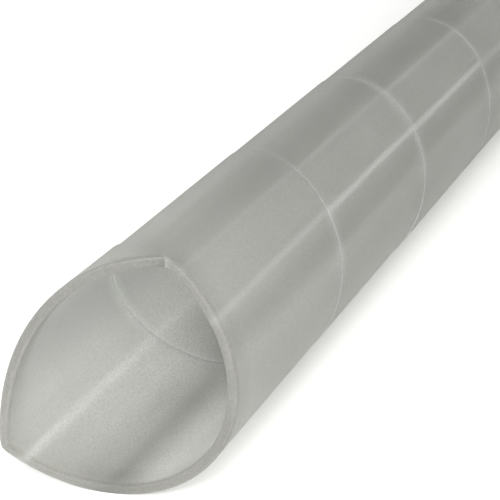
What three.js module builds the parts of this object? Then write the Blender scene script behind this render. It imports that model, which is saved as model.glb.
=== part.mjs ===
// A spiral cable wrap: one long strip of thin plastic wall that winds round as a straight open sleeve.
// The sleeve lies along X on the plane z = 0. Its obliquely cut end is at -X and its square end at +X,
// and the origin is under the middle of its length.
import * as THREE from "three";

// Sizes in millimetres.
const OUTER_DIAMETER = 25; // across the sleeve, flat to opposite flat
const WALL = 1.2; // thickness of the strip
const PITCH = 26.2; // length of sleeve that one turn of the strip takes up
const KERF = 0.3; // gap that the spiral cut leaves between neighbouring turns, along the sleeve
const LENGTH = 1000; // from the tip of the oblique end to the square end
const POINT_WIDTH = 0.6; // width of the blunt points that the strip runs out to at both ends

// Flat faces in one turn. One of them faces straight down, so the sleeve rests on flats.
const FACETS = 24;

// Angles in degrees round the sleeve, from its top towards +Y and on down its far side.
// The strip's distance along +X grows with this angle, which makes the winding left-handed.
const TIP_ANGLE = 121; // where the foremost tip of the oblique end stands
const CUT_SWEEP = 124; // how far back round the sleeve the oblique cut runs, from edge to edge of the strip

const TURN = 360;
const FACET_ANGLE = TURN / FACETS;
const SAME_ANGLE = 0.01; // two stations closer than this many degrees are one
const OUTER_RADIUS = OUTER_DIAMETER / 2;
const INNER_RADIUS = OUTER_RADIUS - WALL;
const TIP_X = -LENGTH / 2;
const SQUARE_END_X = LENGTH / 2;

// The strip is followed by the angle run since the tip, which is below zero along the oblique cut.

// Where the strip's edge nearest the oblique end lies along the sleeve.
// Past the tip it is the free helical edge, and before the tip it is the straight oblique cut.
function nearEdge(run) {
  if (run >= 0) return TIP_X + (PITCH * run) / TURN;
  return TIP_X - PITCH * run * (1 / CUT_SWEEP - 1 / TURN);
}

// Where its other edge lies: one turn on, less the gap, and never past the square end.
function farEdge(run) {
  return Math.min(TIP_X + PITCH * (1 + run / TURN) - KERF, SQUARE_END_X);
}

// The runs at which the strip starts and stops, and at which one of its edges changes its course.
const FIRST_RUN = (-CUT_SWEEP * (PITCH - KERF - POINT_WIDTH)) / PITCH;
const LAST_RUN = (TURN * (LENGTH - POINT_WIDTH)) / PITCH;
const SQUARE_CUT_RUN = TURN * ((LENGTH + KERF) / PITCH - 1);

// Every place where the strip's section is drawn: those runs, and each corner between two flats.
function stations() {
  const found = [FIRST_RUN, 0, SQUARE_CUT_RUN, LAST_RUN];
  const firstCorner = Math.ceil((TIP_ANGLE + FIRST_RUN) / FACET_ANGLE - 0.5);
  const lastCorner = Math.floor((TIP_ANGLE + LAST_RUN) / FACET_ANGLE - 0.5);
  for (let corner = firstCorner; corner <= lastCorner; corner += 1) {
    const run = (corner + 0.5) * FACET_ANGLE - TIP_ANGLE;
    if (found.every((other) => Math.abs(other - run) > SAME_ANGLE)) found.push(run);
  }
  return found.sort((one, other) => one - other);
}

// A point on the flat that covers this run, at a distance from the axis measured square to the flat.
function onFlat(run, flatRadius, x) {
  const angle = TIP_ANGLE + run;
  const offMiddle = angle - Math.round(angle / FACET_ANGLE) * FACET_ANGLE;
  const radius = flatRadius / Math.cos(THREE.MathUtils.degToRad(offMiddle));
  const turned = THREE.MathUtils.degToRad(angle);
  return [x, radius * Math.sin(turned), OUTER_RADIUS + radius * Math.cos(turned)];
}

// The strip's section at one station: its four corners, going round from outside to inside.
function section(run) {
  return [
    onFlat(run, OUTER_RADIUS, nearEdge(run)),
    onFlat(run, OUTER_RADIUS, farEdge(run)),
    onFlat(run, INNER_RADIUS, farEdge(run)),
    onFlat(run, INNER_RADIUS, nearEdge(run)),
  ];
}

// The whole strip as one closed body: four long faces through all the sections, and two end faces.
function stripGeometry() {
  const sections = stations().map(section);
  const corners = sections[0].length;
  const faces = [];
  const addQuad = (a, b, c, d) => faces.push(a, b, c, a, c, d);
  for (let i = 0; i + 1 < sections.length; i += 1) {
    for (let side = 0; side < corners; side += 1) {
      const next = (side + 1) % corners;
      const here = i * corners;
      const ahead = here + corners;
      addQuad(here + side, here + next, ahead + next, ahead + side);
    }
  }
  const last = (sections.length - 1) * corners;
  addQuad(3, 2, 1, 0);
  addQuad(last, last + 1, last + 2, last + 3);
  const geometry = new THREE.BufferGeometry();
  geometry.setAttribute("position", new THREE.Float32BufferAttribute(sections.flat(2), 3));
  geometry.setIndex(faces);
  geometry.computeVertexNormals();
  return geometry;
}

// Natural, undyed polyethylene: a milky grey with a dull sheen.
const polyethylene = new THREE.MeshStandardMaterial({
  color: 0xb9b8b4,
  roughness: 0.45,
  metalness: 0,
  flatShading: true,
});

const spiralStrip = new THREE.Mesh(stripGeometry(), polyethylene);
spiralStrip.name = "spiral_strip";

const spiralCableWrap = new THREE.Group();
spiralCableWrap.add(spiralStrip);

export default spiralCableWrap;
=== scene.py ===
"""Natural spiral cable wrap: a polyethylene strip wound turn against turn into an open sleeve."""
import math

import bpy
from bpy.props import FloatProperty, FloatVectorProperty, IntProperty, PointerProperty
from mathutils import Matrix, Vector


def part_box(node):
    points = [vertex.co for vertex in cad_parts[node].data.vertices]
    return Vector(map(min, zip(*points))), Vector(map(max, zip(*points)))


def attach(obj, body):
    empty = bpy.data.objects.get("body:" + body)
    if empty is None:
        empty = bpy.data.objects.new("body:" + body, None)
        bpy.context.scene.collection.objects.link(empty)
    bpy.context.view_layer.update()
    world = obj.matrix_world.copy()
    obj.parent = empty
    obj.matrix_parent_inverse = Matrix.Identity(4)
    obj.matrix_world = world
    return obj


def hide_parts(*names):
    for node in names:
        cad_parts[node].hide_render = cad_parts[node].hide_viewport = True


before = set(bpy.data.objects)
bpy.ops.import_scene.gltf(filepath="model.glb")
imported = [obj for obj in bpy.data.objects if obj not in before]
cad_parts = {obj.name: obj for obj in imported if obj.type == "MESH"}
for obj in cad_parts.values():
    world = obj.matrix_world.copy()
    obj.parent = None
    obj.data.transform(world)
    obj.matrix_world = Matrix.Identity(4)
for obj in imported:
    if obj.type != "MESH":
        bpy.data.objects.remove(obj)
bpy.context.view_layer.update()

bl_info = {
    "name": "Spiral Cable Wrap",
    "version": (1, 0, 0),
    "blender": (4, 5, 0),
    "location": "View3D > Sidebar > Spiral Wrap",
    "description": "Builds a length of spiral cable wrap and the studio that it is shown in",
    "category": "Add Mesh",
}

NODE = "spiral_strip"
MM = 0.001

# The sleeve's place comes from the frame: it lies along X and rests on the floor.
SLEEVE_LOW, SLEEVE_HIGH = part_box(NODE)
TIP_X = SLEEVE_LOW.x
SQUARE_END_X = SLEEVE_HIGH.x
SLEEVE_RADIUS = (SLEEVE_HIGH.z - SLEEVE_LOW.z) / 2
AXIS_HEIGHT = (SLEEVE_HIGH.z + SLEEVE_LOW.z) / 2


def srgb(hex_colour):
    """An sRGB hex colour as the linear values that shaders take."""
    parts = [int(hex_colour[i:i + 2], 16) / 255 for i in (1, 3, 5)]
    return tuple(p / 12.92 if p <= 0.04045 else ((p + 0.055) / 1.055) ** 2.4 for p in parts)


# Sizes and colours that a user would change


def length(name, description, millimetres):
    """A length property whose default is given in millimetres."""
    return FloatProperty(
        name=name, description=description, default=millimetres * MM,
        min=0.0, precision=5, subtype="DISTANCE", unit="LENGTH",
    )


def angle(name, description, degrees):
    """An angle property whose default is given in degrees."""
    return FloatProperty(
        name=name, description=description, default=math.radians(degrees),
        subtype="ANGLE", unit="ROTATION",
    )


def colour(name, description, hex_colour):
    """A colour property whose default is an sRGB hex value."""
    return FloatVectorProperty(
        name=name, description=description, default=srgb(hex_colour),
        min=0.0, max=1.0, size=3, subtype="COLOR",
    )


def power(name, description, watts):
    """A light's power in watts."""
    return FloatProperty(name=name, description=description, default=watts, min=0.0, unit="POWER")


class StripSizes(bpy.types.PropertyGroup):
    """Sizes of the wound strip."""

    wall: length("Wall", "Thickness of the strip", 1.2)
    pitch: length("Pitch", "Length of sleeve that one turn takes up", 26.2)
    gap: length("Gap", "Width of the spiral cut between neighbouring turns", 0.01)
    rounding: length("Edge rounding", "Radius left on the cut edges where two turns meet", 0.04)
    free_rounding: length("Free edge rounding", "Radius of the cut edges that stand free", 0.25)
    point_width: length("Point width", "Width of the blunt points at the strip's two ends", 0.12)
    tip_rounding: angle("Tip rounding", "Part of a turn over which the tip is rounded", 2.0)
    tip_angle: angle("Tip angle", "Where the tip stands, from the top towards the far side", 121.0)
    cut_sweep: angle("Cut sweep", "How far round the sleeve the oblique cut runs", 124.0)
    end_spring: length("End spring", "How far the cut end springs open", 0.42)
    edge_lag: length("Edge lag", "How far the free edge under the tip lags behind its helix", 1.0)
    drift: length("Drift", "How far the fourth and later turns lie beyond an even pitch", 0.6)
    slip: angle("Slip", "How far round each turn has slipped against the turn before it", 0.9)
    edge_step: length("Edge step", "How far one turn's edge stands proud of the next", 0.1)
    waviness: length("Waviness", "Slow unevenness of the wall from turn to turn", 0.05)
    fine_turns: FloatProperty(
        name="Fine turns", description="Turns at the cut end that are drawn finely",
        default=5.5, min=0.0,
    )
    fine_steps: IntProperty(
        name="Fine steps", description="Steps in each finely drawn turn", default=180, min=12,
    )
    plain_steps: IntProperty(
        name="Plain steps", description="Steps in each other turn", default=64, min=12,
    )


class StripFinish(bpy.types.PropertyGroup):
    """Colours and marks of the strip's surface."""

    # The wall's colour runs from the first of these to the second as the milky mark rises, and that mark
    # also holds painted light and shade.
    wall_colour: colour("Wall", "Undyed wall where it is clearest", "#676662")
    milky_colour: colour("Milky wall", "Undyed wall where it is milkiest", "#CDCCC9")
    passed_colour: colour("Passed light", "Colour of the light that passes the wall", "#EFF0EE")
    cut_face_colour: colour("Cut face", "Colour of the light that passes the cut faces", "#B5B5B1")
    edge_colour: colour("Cut edge", "Whitened plastic along the cut edges", "#ECECEA")
    weld_colour: colour("Weld line", "Whiter lines where the melt joined again", "#E4E5E2")
    translucency: FloatProperty(
        name="Translucency", description="Share of the light that the wall lets through",
        default=0.6, min=0.0, max=1.0,
    )
    edge_width: length("Whitened edge", "Width of the whitened band along a cut edge", 1.5)
    weld_width: length("Weld line width", "Half width of a weld line", 0.5)


class StudioLook(bpy.types.PropertyGroup):
    """Floor, lights and world."""

    floor_colour: colour("Floor", "Plain pale floor", "#F4F4F2")
    floor_size: length("Floor size", "Side of the square floor", 30000.0)
    world_strength: FloatProperty(
        name="World strength", description="Even light from all round", default=0.54, min=0.0,
    )
    key_power: power("Key power", "Large soft light before the cut end", 190.0)
    left_power: power("Left power", "Large soft light on the far side", 55.0)
    near_power: power("Near power", "Small light close over the cut end", 0.26)


# The strip's mesh


def smooth(edge_low, edge_high, value):
    """Runs smoothly from 0 at edge_low to 1 at edge_high."""
    t = min(max((value - edge_low) / (edge_high - edge_low), 0.0), 1.0)
    return t * t * (3 - 2 * t)


# Angles since the tip between which the turns drift from an even pitch, and come back to it.
DRIFT_STARTS = (math.radians(1230.0), math.radians(1300.0))
DRIFT_ENDS = (math.radians(2000.0), math.radians(4000.0))
LAG_END = math.radians(200.0)  # past this angle since the tip, the free edge follows its helix
FREE_END = math.radians(238.0)  # past this angle since the tip, the next turn lies against the edge
MEETING = math.radians(8.0)  # over this angle before that, the free edge turns into a seam


class Winding:
    """Where the strip runs. It is followed by the angle since the tip, below zero along the cut."""

    def __init__(self, sizes):
        """Keeps where the strip starts and stops, and how fast its edges move along the sleeve."""
        self.sizes = sizes
        usable = sizes.pitch - sizes.gap - sizes.point_width
        self.first = -sizes.cut_sweep * usable / sizes.pitch
        self.last = math.tau * (SQUARE_END_X - TIP_X - sizes.point_width) / sizes.pitch
        self.rise = sizes.pitch / math.tau
        self.cut_rise = sizes.pitch * (1 / sizes.cut_sweep - 1 / math.tau)

    def drift(self, run):
        """How far the cut lies beyond an even pitch, at an angle since the tip."""
        return self.sizes.drift * smooth(*DRIFT_STARTS, run) * (1.0 - smooth(*DRIFT_ENDS, run))

    def near_edge(self, run):
        """Place along the sleeve of the free edge, or of the oblique cut before the tip."""
        # Two even slopes, the cut's and the free edge's, meet in the rounded tip.
        rounded = math.hypot(run, self.sizes.tip_rounding)
        place = TIP_X + (self.rise - self.cut_rise) / 2 * run + (self.rise + self.cut_rise) / 2 * rounded
        if 0.0 < run < LAG_END:
            place += self.sizes.edge_lag * math.sin(math.pi * run / LAG_END)
        return place + self.drift(run)

    def far_edge(self, run):
        """Place along the sleeve of the other edge, one turn on and never past the square end."""
        place = TIP_X + self.sizes.pitch + self.rise * run + self.drift(run + math.tau)
        return min(place - self.sizes.gap, SQUARE_END_X)

    def edge_slant(self, run):
        """How much shorter the way square to the near edge is than the way along the sleeve."""
        slope = self.rise if run >= 0 else self.cut_rise
        return math.cos(math.atan2(slope, SLEEVE_RADIUS))

    def steps(self):
        """The angles at which the strip's section is drawn: close together near the cut end."""
        sizes = self.sizes
        fine_end = min(sizes.fine_turns * math.tau, self.last)
        fine = max(int((fine_end - self.first) / math.tau * sizes.fine_steps), 1)
        plain = max(int((self.last - fine_end) / math.tau * sizes.plain_steps), 1)
        runs = [self.first + (fine_end - self.first) * i / fine for i in range(fine)]
        runs += [fine_end + (self.last - fine_end) * i / plain for i in range(plain + 1)]
        return runs


FACE_SHARES = (0.05, 0.25, 0.65)  # where the long faces have points, as shares of the half width
ROUNDING_STEPS = 3  # steps round each rounded edge
MOST_ROUNDING = 0.4  # the most of the strip's width or thickness that one rounded edge takes up


def section_outline(width, wall, near_rounding, far_rounding):
    """The strip's section: (distance across from the near edge, height above the inside) all round."""
    most = MOST_ROUNDING * min(width, wall)
    near, far = min(near_rounding, most), min(far_rounding, most)
    face = [near + (width / 2 - near) * share for share in FACE_SHARES]
    face += [width - far - (width / 2 - far) * share for share in reversed(FACE_SHARES)]
    corners = (
        (near, near, wall - near, 180.0),
        (far, width - far, wall - far, 90.0),
        (far, width - far, far, 0.0),
        (near, near, near, -90.0),
    )
    sides = (
        [(across, wall) for across in face],
        [(width, wall / 2)],
        [(across, 0.0) for across in reversed(face)],
        [(0.0, wall / 2)],
    )
    outline = []
    for (radius, centre_across, centre_up, start), side in zip(corners, sides):
        for step in range(ROUNDING_STEPS + 1):
            turned = math.radians(start - 90.0 * step / ROUNDING_STEPS)
            outline.append((
                centre_across + radius * math.cos(turned),
                centre_up + radius * math.sin(turned),
            ))
        outline += side
    return outline


# Where the wound strip departs from a true sleeve
SPRING_START = math.radians(50.0)  # the thin point opens over this angle from where the strip starts
SPRING_END = math.radians(300.0)  # the end has closed again this far past the tip
SPRING_LOSS = 0.5  # how much less of the spring reaches the strip's other edge
PROUD_SIDE = math.radians(55.0)  # where round the sleeve each turn's far edge stands most proud
WAVES = ((1.37, 0.4, 0.5), (2.21, 1.9, 0.3), (3.73, 4.1, 0.2))  # waves in a turn, phase, share


def radius_change(sizes, winding, run, across_share):
    """How much farther out the wall lies than a true sleeve's, at a place across the strip."""
    round_angle = sizes.tip_angle + run
    opened = smooth(winding.first, winding.first + SPRING_START, run)
    opened *= 1.0 - smooth(winding.first, SPRING_END, run)
    off_floor = (1.0 + math.cos(round_angle)) / 2
    spring = sizes.end_spring * opened * off_floor * (1.0 - SPRING_LOSS * across_share)
    proud = math.cos(round_angle - PROUD_SIDE)
    step = sizes.edge_step * (across_share - 0.5) * proud * abs(proud)
    waves = sum(share * math.sin(count * run + phase) for count, phase, share in WAVES)
    return spring + step + sizes.waviness * waves


# How plainly each cut edge shows white, at each of these degrees along the spiral cut from the tip.
# Where the turns press tightly together it hardly shows.
EDGE_SHOWS = (
    (0, 0.0), (292, 0.0), (315, 0.45), (365, 0.45), (385, 0.15), (405, 0.55), (440, 0.0), (495, 0.05),
    (545, 0.22), (570, 0.02), (605, 0.08), (640, 0.0), (860, 0.04), (905, 0.22), (965, 0.2), (985, 0.02),
    (1220, 0.04), (1265, 0.18),
)

# How plainly the weld lines show in the part of the strip at each of these angles since the tip.
LINES_SHOW = (
    (0, 0.3), (12, 0.3), (194, 0.2), (224, 0.1), (372, 0.5), (500, 0.4), (554, 0.4), (584, 0.15),
    (732, 0.3), (914, 0.42), (944, 0.2), (1200, 0.3),
)

# Past these two tables, marks keep their last value, less up to twice this share of it, and swing
# between the two so many times in a turn.
SWING = 0.35
SWINGS_IN_TURN = 1.7

# How milky the wall is at each of these degrees round from the top, outside and inside, with painted
# light and shade in the same values. Outside, the wall is painted lighter and darker round the sleeve by
# where the lamps fall on it. The inside is painted palest on both sides of the line that the sleeve
# rests on, as painted light that comes up off the floor, and darker along that line as painted shade.
MILKY_AND_PAINTED_LIGHT_OUTSIDE = (
    (0, 0.18), (8, 0.26), (22, 0.52), (90, 0.42), (255, 0.42), (280, 0.34), (290, 0.38), (302, 0.2),
    (314, 0.34), (338, 0.36), (352, 0.2), (360, 0.18),
)
MILKY_AND_PAINTED_LIGHT_INSIDE = (
    (0, 0.18), (90, 0.18), (116, 0.43), (136, 0.6), (152, 0.66), (168, 0.54), (184, 0.55), (201, 1.0),
    (222, 0.5), (250, 0.35), (360, 0.18),
)
CUT_FACE_MILKY = 0.35  # the faces of the oblique cut and of the free edge are alike all round

# How much painted light lightens the lower half inside, at each of these millimetres along from the tip:
# a little way in, it stands for light that comes down through the wall overhead.
PAINTED_LIGHT_ALONG = ((20, 0.0), (34, 0.8), (60, 0.4), (90, 0.0))
PAINTED_SHADE_ON_LIP = 0.25  # painted shade: how much darker the lip is painted where it turns up from the floor on the far side
LIP_ENDS = (5, 12)  # millimetres from the tip between which the lip's painted shade fades out


def from_table(table, place):
    """The value that a table gives at a place, the same as at its end beyond that."""
    if place <= table[0][0]:
        return table[0][1]
    for (start, low), (end, high) in zip(table, table[1:]):
        if place <= end:
            return low + (high - low) * smooth(start, end, place)
    return table[-1][1]


def from_run(table, degrees):
    """The value at an angle run along the cut, which swings on evenly past the table's end."""
    since = math.radians(max(degrees - table[-1][0], 0.0))
    return from_table(table, degrees) * (1.0 - SWING + SWING * math.cos(since * SWINGS_IN_TURN))


def milkiness_and_painted_light(wall, round_angle, along, up):
    """How milky the wall is, with painted light and shade, at an angle from the top, millimetres from
    the tip and a height in it.
    """
    upright = math.degrees(round_angle) % 360.0
    outside, inside = from_table(MILKY_AND_PAINTED_LIGHT_OUTSIDE, upright), from_table(MILKY_AND_PAINTED_LIGHT_INSIDE, upright)
    below, beyond = max(-math.cos(round_angle), 0.0), max(math.sin(round_angle), 0.0)
    turns_up = 2.0 * below * beyond  # 1 halfway between the floor and the far side
    # Painted shade: the lip near the tip is darker where it turns up from the floor on the far side.
    painted_lip_shade = turns_up * PAINTED_SHADE_ON_LIP * (1.0 - smooth(*LIP_ENDS, along))
    # Painted light: the lower half inside is painted lighter a little way in from the tip.
    inner = inside + below * from_table(PAINTED_LIGHT_ALONG, along) - painted_lip_shade
    return inner + (outside - inner) * up / wall


# What the material reads at each point of the mesh, in the order in which strip_mesh gives it.
MARKS = ("milky", "around_degrees", "from_corner_mm", "edge_shows", "lines_show", "cut_face")


def strip_mesh(sizes):
    """The whole strip as one closed mesh, with what its material needs as attributes."""
    winding = Winding(sizes)
    places = []
    marks = {name: [] for name in MARKS}
    for run in winding.steps():
        near = winding.near_edge(run)
        width = max(winding.far_edge(run) - near, sizes.point_width / 2)
        round_angle = sizes.tip_angle + run
        slant = winding.edge_slant(run)
        meets = smooth(FREE_END - MEETING, FREE_END, run)
        near_rounding = sizes.free_rounding + (sizes.rounding - sizes.free_rounding) * meets
        outline = section_outline(width, sizes.wall, near_rounding, sizes.rounding)
        for across, up in outline:
            change = radius_change(sizes, winding, run, across / width)
            radius = SLEEVE_RADIUS - sizes.wall + up + change
            height = AXIS_HEIGHT + radius * math.cos(round_angle)
            places.append((near + across, radius * math.sin(round_angle), max(height, SLEEVE_LOW.z)))

            from_side = max(min(across, width - across), 0.0) * slant
            from_face = max(min(up, sizes.wall - up), 0.0)
            cut_run = math.degrees(run) + (360.0 if across > width / 2 else 0.0)
            cut_face = (1.0 - meets) * (1.0 - smooth(near_rounding, sizes.wall, across))
            # The milkiness also holds painted light and shade, round the sleeve and along it.
            milky = milkiness_and_painted_light(sizes.wall, round_angle, (near + across - TIP_X) / MM, up)
            values = (
                milky + (CUT_FACE_MILKY - milky) * cut_face,
                math.degrees(round_angle + sizes.slip * run / math.tau),
                max(from_side, from_face) / MM,
                from_run(EDGE_SHOWS, cut_run),
                from_run(LINES_SHOW, math.degrees(run)),
                cut_face,
            )
            for mark, value in zip(marks.values(), values):
                mark.append(value)

    count = len(outline)
    faces = []
    for start in range(0, len(places) - count, count):
        for i in range(count):
            after = (i + 1) % count
            faces.append((start + i, start + after, start + count + after, start + count + i))
    faces.append(tuple(reversed(range(count))))
    faces.append(tuple(range(len(places) - count, len(places))))
    mesh = bpy.data.meshes.new("spiral_strip_wound")
    mesh.from_pydata(places, [], faces)
    for name, values in marks.items():
        attribute = mesh.attributes.new(name, "FLOAT", "POINT")
        attribute.data.foreach_set("value", values)
    mesh.shade_smooth()
    mesh.validate()
    return mesh


# Materials


def add_node(tree, kind, settings=None, links=None):
    """Adds one node. settings names its properties and sockets, and links names what feeds a socket."""
    node = tree.nodes.new(kind)
    for name, value in (settings or {}).items():
        if isinstance(name, str) and hasattr(node, name):
            setattr(node, name, value)
        else:
            node.inputs[name].default_value = value
    for name, source in (links or {}).items():
        tree.links.new(source, node.inputs[name])
    return node


def new_material(name):
    """A node material with nothing in its tree yet, and the tree."""
    material = bpy.data.materials.new(name)
    material.use_nodes = True
    material.node_tree.nodes.clear()
    return material, material.node_tree


# Where the melt flowed together again behind the legs that hold the die's core: degrees round from
# the top, and how wide each line is against the width property.
WELD_LINES = ((133.6, 2.2), (-43.9, 1.4), (-13.8, 1.2))


def natural_polyethylene(finish):
    """Natural low-density polyethylene, extruded as a tube and then cut: milky, dull-glossy, waxy.

    Light sinks a few millimetres into it, so its shading is soft. The drawing through the die
    leaves faint lines along the sleeve, and the knife whitens the plastic beside each cut.
    """
    material, tree = new_material("natural low-density polyethylene, extruded")
    place = add_node(tree, "ShaderNodeTexCoord").outputs["Object"]

    marks = {
        name: add_node(
            tree, "ShaderNodeAttribute", {"attribute_type": "GEOMETRY", "attribute_name": name},
        ).outputs["Fac"]
        for name in MARKS
    }

    # The wall's colour, from clear to milky, with faint clouds about 9 mm across. The milky mark that
    # drives it also holds painted light and shade, so the wall is painted lighter and darker by where
    # light falls.
    clouds = add_node(
        tree, "ShaderNodeTexNoise", {"Scale": 1 / (9 * MM), "Detail": 3.0, "Roughness": 0.5},
        {"Vector": place},
    ).outputs["Fac"]
    cloudiness = add_node(
        tree, "ShaderNodeMapRange", {"From Min": 0.3, "From Max": 0.7, "To Min": -0.03, "To Max": 0.03},
        {"Value": clouds},
    ).outputs["Result"]
    clouded = add_node(
        tree, "ShaderNodeMath", {"operation": "ADD"}, {0: marks["milky"], 1: cloudiness},
    ).outputs[0]
    wall = add_node(
        tree, "ShaderNodeMix",
        {"data_type": "RGBA", 6: (*finish.wall_colour, 1), 7: (*finish.milky_colour, 1)},
        {0: clouded},
    ).outputs[2]

    # Whitened plastic along the corners of each cut edge.
    edge_amount = add_node(
        tree, "ShaderNodeMapRange",
        {
            "interpolation_type": "SMOOTHSTEP", "From Min": 0.0, "From Max": finish.edge_width / MM,
            "To Max": 0.0,
        },
        {"Value": marks["from_corner_mm"], "To Min": marks["edge_shows"]},
    ).outputs["Result"]
    edged = add_node(
        tree, "ShaderNodeMix", {"data_type": "RGBA", 7: (*finish.edge_colour, 1)},
        {0: edge_amount, 6: wall},
    ).outputs[2]

    # Weld lines, which run the length of the sleeve.
    lined = edged
    half_width = math.degrees(finish.weld_width / SLEEVE_RADIUS)
    for line_angle, breadth in WELD_LINES:
        from_line = add_node(
            tree, "ShaderNodeMath", {"operation": "SUBTRACT", 1: line_angle},
            {0: marks["around_degrees"]},
        ).outputs[0]
        wrapped = add_node(
            tree, "ShaderNodeMath", {"operation": "WRAP", 1: 180.0, 2: -180.0}, {0: from_line},
        ).outputs[0]
        off_line = add_node(tree, "ShaderNodeMath", {"operation": "ABSOLUTE"}, {0: wrapped}).outputs[0]
        amount = add_node(
            tree, "ShaderNodeMapRange",
            {
                "interpolation_type": "SMOOTHSTEP", "From Min": 0.0, "From Max": half_width * breadth,
                "To Max": 0.0,
            },
            {"Value": off_line, "To Min": marks["lines_show"]},
        ).outputs["Result"]
        lined = add_node(
            tree, "ShaderNodeMix", {"data_type": "RGBA", 7: (*finish.weld_colour, 1)},
            {0: amount, 6: lined},
        ).outputs[2]

    # Drawing lines about 0.6 mm apart, 50 times as long as that, and a grain of 0.2 mm that also
    # shows as specks in the colour. Both are drawn coarser than the real ones, so that they show.
    stretched = add_node(
        tree, "ShaderNodeMapping", {"Scale": (0.02, 1.0, 1.0)}, {"Vector": place},
    ).outputs["Vector"]
    drawing = add_node(
        tree, "ShaderNodeTexNoise", {"Scale": 1 / (0.6 * MM), "Detail": 2.0}, {"Vector": stretched},
    ).outputs["Fac"]
    grain = add_node(
        tree, "ShaderNodeTexNoise", {"Scale": 1 / (0.2 * MM), "Detail": 2.0}, {"Vector": place},
    ).outputs["Fac"]
    speck = add_node(
        tree, "ShaderNodeMapRange",
        {"From Min": 0.3, "From Max": 0.7, "To Min": 0.65, "To Max": 1.35, "clamp": False},
        {"Value": grain},
    ).outputs["Result"]
    specked = add_node(
        tree, "ShaderNodeMix", {"data_type": "RGBA", "blend_type": "MULTIPLY", 0: 1.0},
        {6: lined, 7: speck},
    ).outputs[2]
    drawn = add_node(
        tree, "ShaderNodeBump", {"Strength": 0.12, "Distance": 0.03 * MM}, {"Height": drawing},
    ).outputs["Normal"]
    grained = add_node(
        tree, "ShaderNodeBump", {"Strength": 0.25, "Distance": 0.02 * MM},
        {"Height": grain, "Normal": drawn},
    ).outputs["Normal"]
    roughness = add_node(
        tree, "ShaderNodeMapRange", {"To Min": 0.4, "To Max": 0.56}, {"Value": grain},
    ).outputs["Result"]

    body = add_node(
        tree, "ShaderNodeBsdfPrincipled",
        {
            "IOR": 1.51, "Subsurface Weight": 1.0, "Subsurface Radius": (1.0, 1.0, 0.95),
            "Subsurface Scale": 3 * MM, "Specular IOR Level": 0.35,
        },
        {"Base Color": specked, "Roughness": roughness, "Normal": grained},
    ).outputs["BSDF"]

    # The wall lets light through, and looks darker edge on, where the eye sees a long way into it.
    faced = add_node(
        tree, "ShaderNodeMix",
        {"data_type": "RGBA", 6: (*finish.passed_colour, 1), 7: (*finish.cut_face_colour, 1)},
        {0: marks["cut_face"]},
    ).outputs[2]
    passed = add_node(tree, "ShaderNodeBsdfTranslucent", links={"Color": faced}).outputs["BSDF"]
    surface = add_node(
        tree, "ShaderNodeMixShader", {"Fac": finish.translucency}, {1: body, 2: passed},
    ).outputs["Shader"]
    add_node(tree, "ShaderNodeOutputMaterial", links={"Surface": surface})
    return material


def pale_floor(look):
    """Matt pale paper sweep: even, with no sheen."""
    material, tree = new_material("pale paper sweep, matt")
    surface = add_node(
        tree, "ShaderNodeBsdfPrincipled",
        {"Base Color": (*look.floor_colour, 1), "Roughness": 0.9, "Specular IOR Level": 0.1},
    ).outputs["BSDF"]
    add_node(tree, "ShaderNodeOutputMaterial", links={"Surface": surface})
    return material


# Operators


def place_object(name, data):
    """Adds an object to the scene."""
    made = bpy.data.objects.new(name, data)
    bpy.context.scene.collection.objects.link(made)
    return made


class WRAP_OT_wind_strip(bpy.types.Operator):
    """Wind the strip into its sleeve"""

    bl_idname = "wrap.wind_strip"
    bl_label = "Wind Strip"

    def execute(self, context):
        mesh = strip_mesh(context.scene.strip_sizes)
        mesh.materials.append(natural_polyethylene(context.scene.strip_finish))
        strip = place_object("wound_strip", mesh)
        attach(strip, "root")
        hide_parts(NODE)
        return {"FINISHED"}


# The camera's place from the sleeve's axis at the tip, the degrees that it is turned from +X
# towards +Y and that it looks down, and the lens and sensor, in millimetres, that give the
# photograph's perspective.
CAMERA_FROM_TIP = Vector((-67.7, -59.8, 79.4)) * MM
CAMERA_HEADING = 29.8
CAMERA_DOWN = 32.6
CAMERA_LENS = 81.9
CAMERA_SENSOR = 36.0

# The soft lights: degrees round from +X towards +Y, degrees up, and how far off and how wide in
# millimetres. They face a point a little way along the sleeve from the tip.
LIGHTS = {
    "key": (225.0, 40.0, 4800.0, 3600.0),
    "left": (90.0, 25.0, 4800.0, 3600.0),
    "near": (200.0, 50.0, 190.0, 90.0),
}
LIT_POINT = Vector((40.0, 0.0, 0.0)) * MM


def soft_light(name, watts, place, side, aim):
    """A square area light that faces a point."""
    data = bpy.data.lights.new(name, "AREA")
    data.energy = watts
    data.size = side
    light = place_object(name, data)
    light.location = place
    light.rotation_euler = (aim - place).to_track_quat("-Z", "Y").to_euler()
    return light


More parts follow.
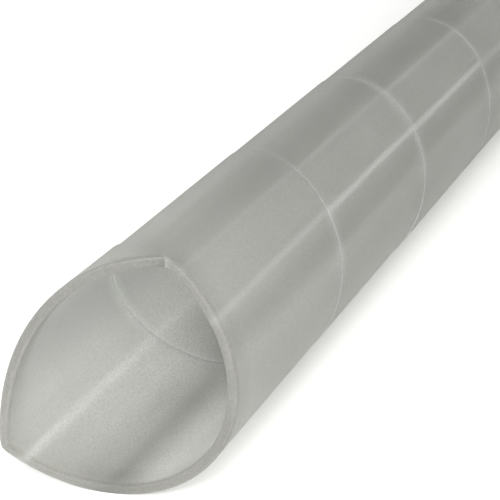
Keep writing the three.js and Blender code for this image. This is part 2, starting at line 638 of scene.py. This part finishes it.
class WRAP_OT_set_stage(bpy.types.Operator):
    """Set up the floor, the lights and the camera"""

    bl_idname = "wrap.set_stage"
    bl_label = "Set Stage"

    def execute(self, context):
        scene = context.scene
        look = scene.studio_look
        tip = Vector((TIP_X, 0.0, AXIS_HEIGHT))

        half = look.floor_size / 2
        corners = [(-half, -half, 0), (half, -half, 0), (half, half, 0), (-half, half, 0)]
        floor_mesh = bpy.data.meshes.new("floor")
        floor_mesh.from_pydata(corners, [], [(0, 1, 2, 3)])
        floor_mesh.materials.append(pale_floor(look))
        place_object("floor", floor_mesh)

        powers = {"key": look.key_power, "left": look.left_power, "near": look.near_power}
        aim = tip + LIT_POINT
        for name, (heading, up, distance, side) in LIGHTS.items():
            heading, up = math.radians(heading), math.radians(up)
            level = Vector((math.cos(heading), math.sin(heading), 0.0))
            toward = level * math.cos(up) + Vector((0.0, 0.0, math.sin(up)))
            soft_light(name + "_light", powers[name], aim + toward * distance * MM, side * MM, aim)

        world = bpy.data.worlds.new("studio")
        world.use_nodes = True
        world.node_tree.nodes.clear()
        air = add_node(
            world.node_tree, "ShaderNodeBackground",
            {"Color": (1, 1, 1, 1), "Strength": look.world_strength},
        ).outputs["Background"]
        add_node(world.node_tree, "ShaderNodeOutputWorld", links={"Surface": air})
        scene.world = world
        scene.view_settings.view_transform = "Standard"

        camera_data = bpy.data.cameras.new("camera")
        camera_data.sensor_width = CAMERA_SENSOR
        camera_data.lens = CAMERA_LENS
        camera_data.clip_start = 10 * MM
        camera = place_object("camera", camera_data)
        camera.location = tip + CAMERA_FROM_TIP
        camera.rotation_euler = (
            math.radians(90 - CAMERA_DOWN), 0.0, math.radians(CAMERA_HEADING - 90),
        )
        scene.camera = camera
        return {"FINISHED"}


class WRAP_PT_panel(bpy.types.Panel):
    """Lists the wrap's operators and sizes in the sidebar"""

    bl_idname = "WRAP_PT_panel"
    bl_label = "Spiral Cable Wrap"
    bl_space_type = "VIEW_3D"
    bl_region_type = "UI"
    bl_category = "Spiral Wrap"

    def draw(self, context):
        layout = self.layout
        for operator in OPERATORS:
            layout.operator(operator.bl_idname)
        for group in (context.scene.strip_sizes, context.scene.strip_finish, context.scene.studio_look):
            box = layout.box()
            for name in group.bl_rna.properties.keys():
                if name not in ("rna_type", "name"):
                    box.prop(group, name)


OPERATORS = (WRAP_OT_set_stage, WRAP_OT_wind_strip)
GROUPS = {"strip_sizes": StripSizes, "strip_finish": StripFinish, "studio_look": StudioLook}
CLASSES = (*GROUPS.values(), *OPERATORS, WRAP_PT_panel)


def register():
    for each in CLASSES:
        bpy.utils.register_class(each)
    for name, group in GROUPS.items():
        setattr(bpy.types.Scene, name, PointerProperty(type=group))


def unregister():
    for name in GROUPS:
        delattr(bpy.types.Scene, name)
    for each in reversed(CLASSES):
        bpy.utils.unregister_class(each)


def main():
    register()
    bpy.ops.wrap.set_stage()
    bpy.ops.wrap.wind_strip()


if __name__ == "__main__":
    main()
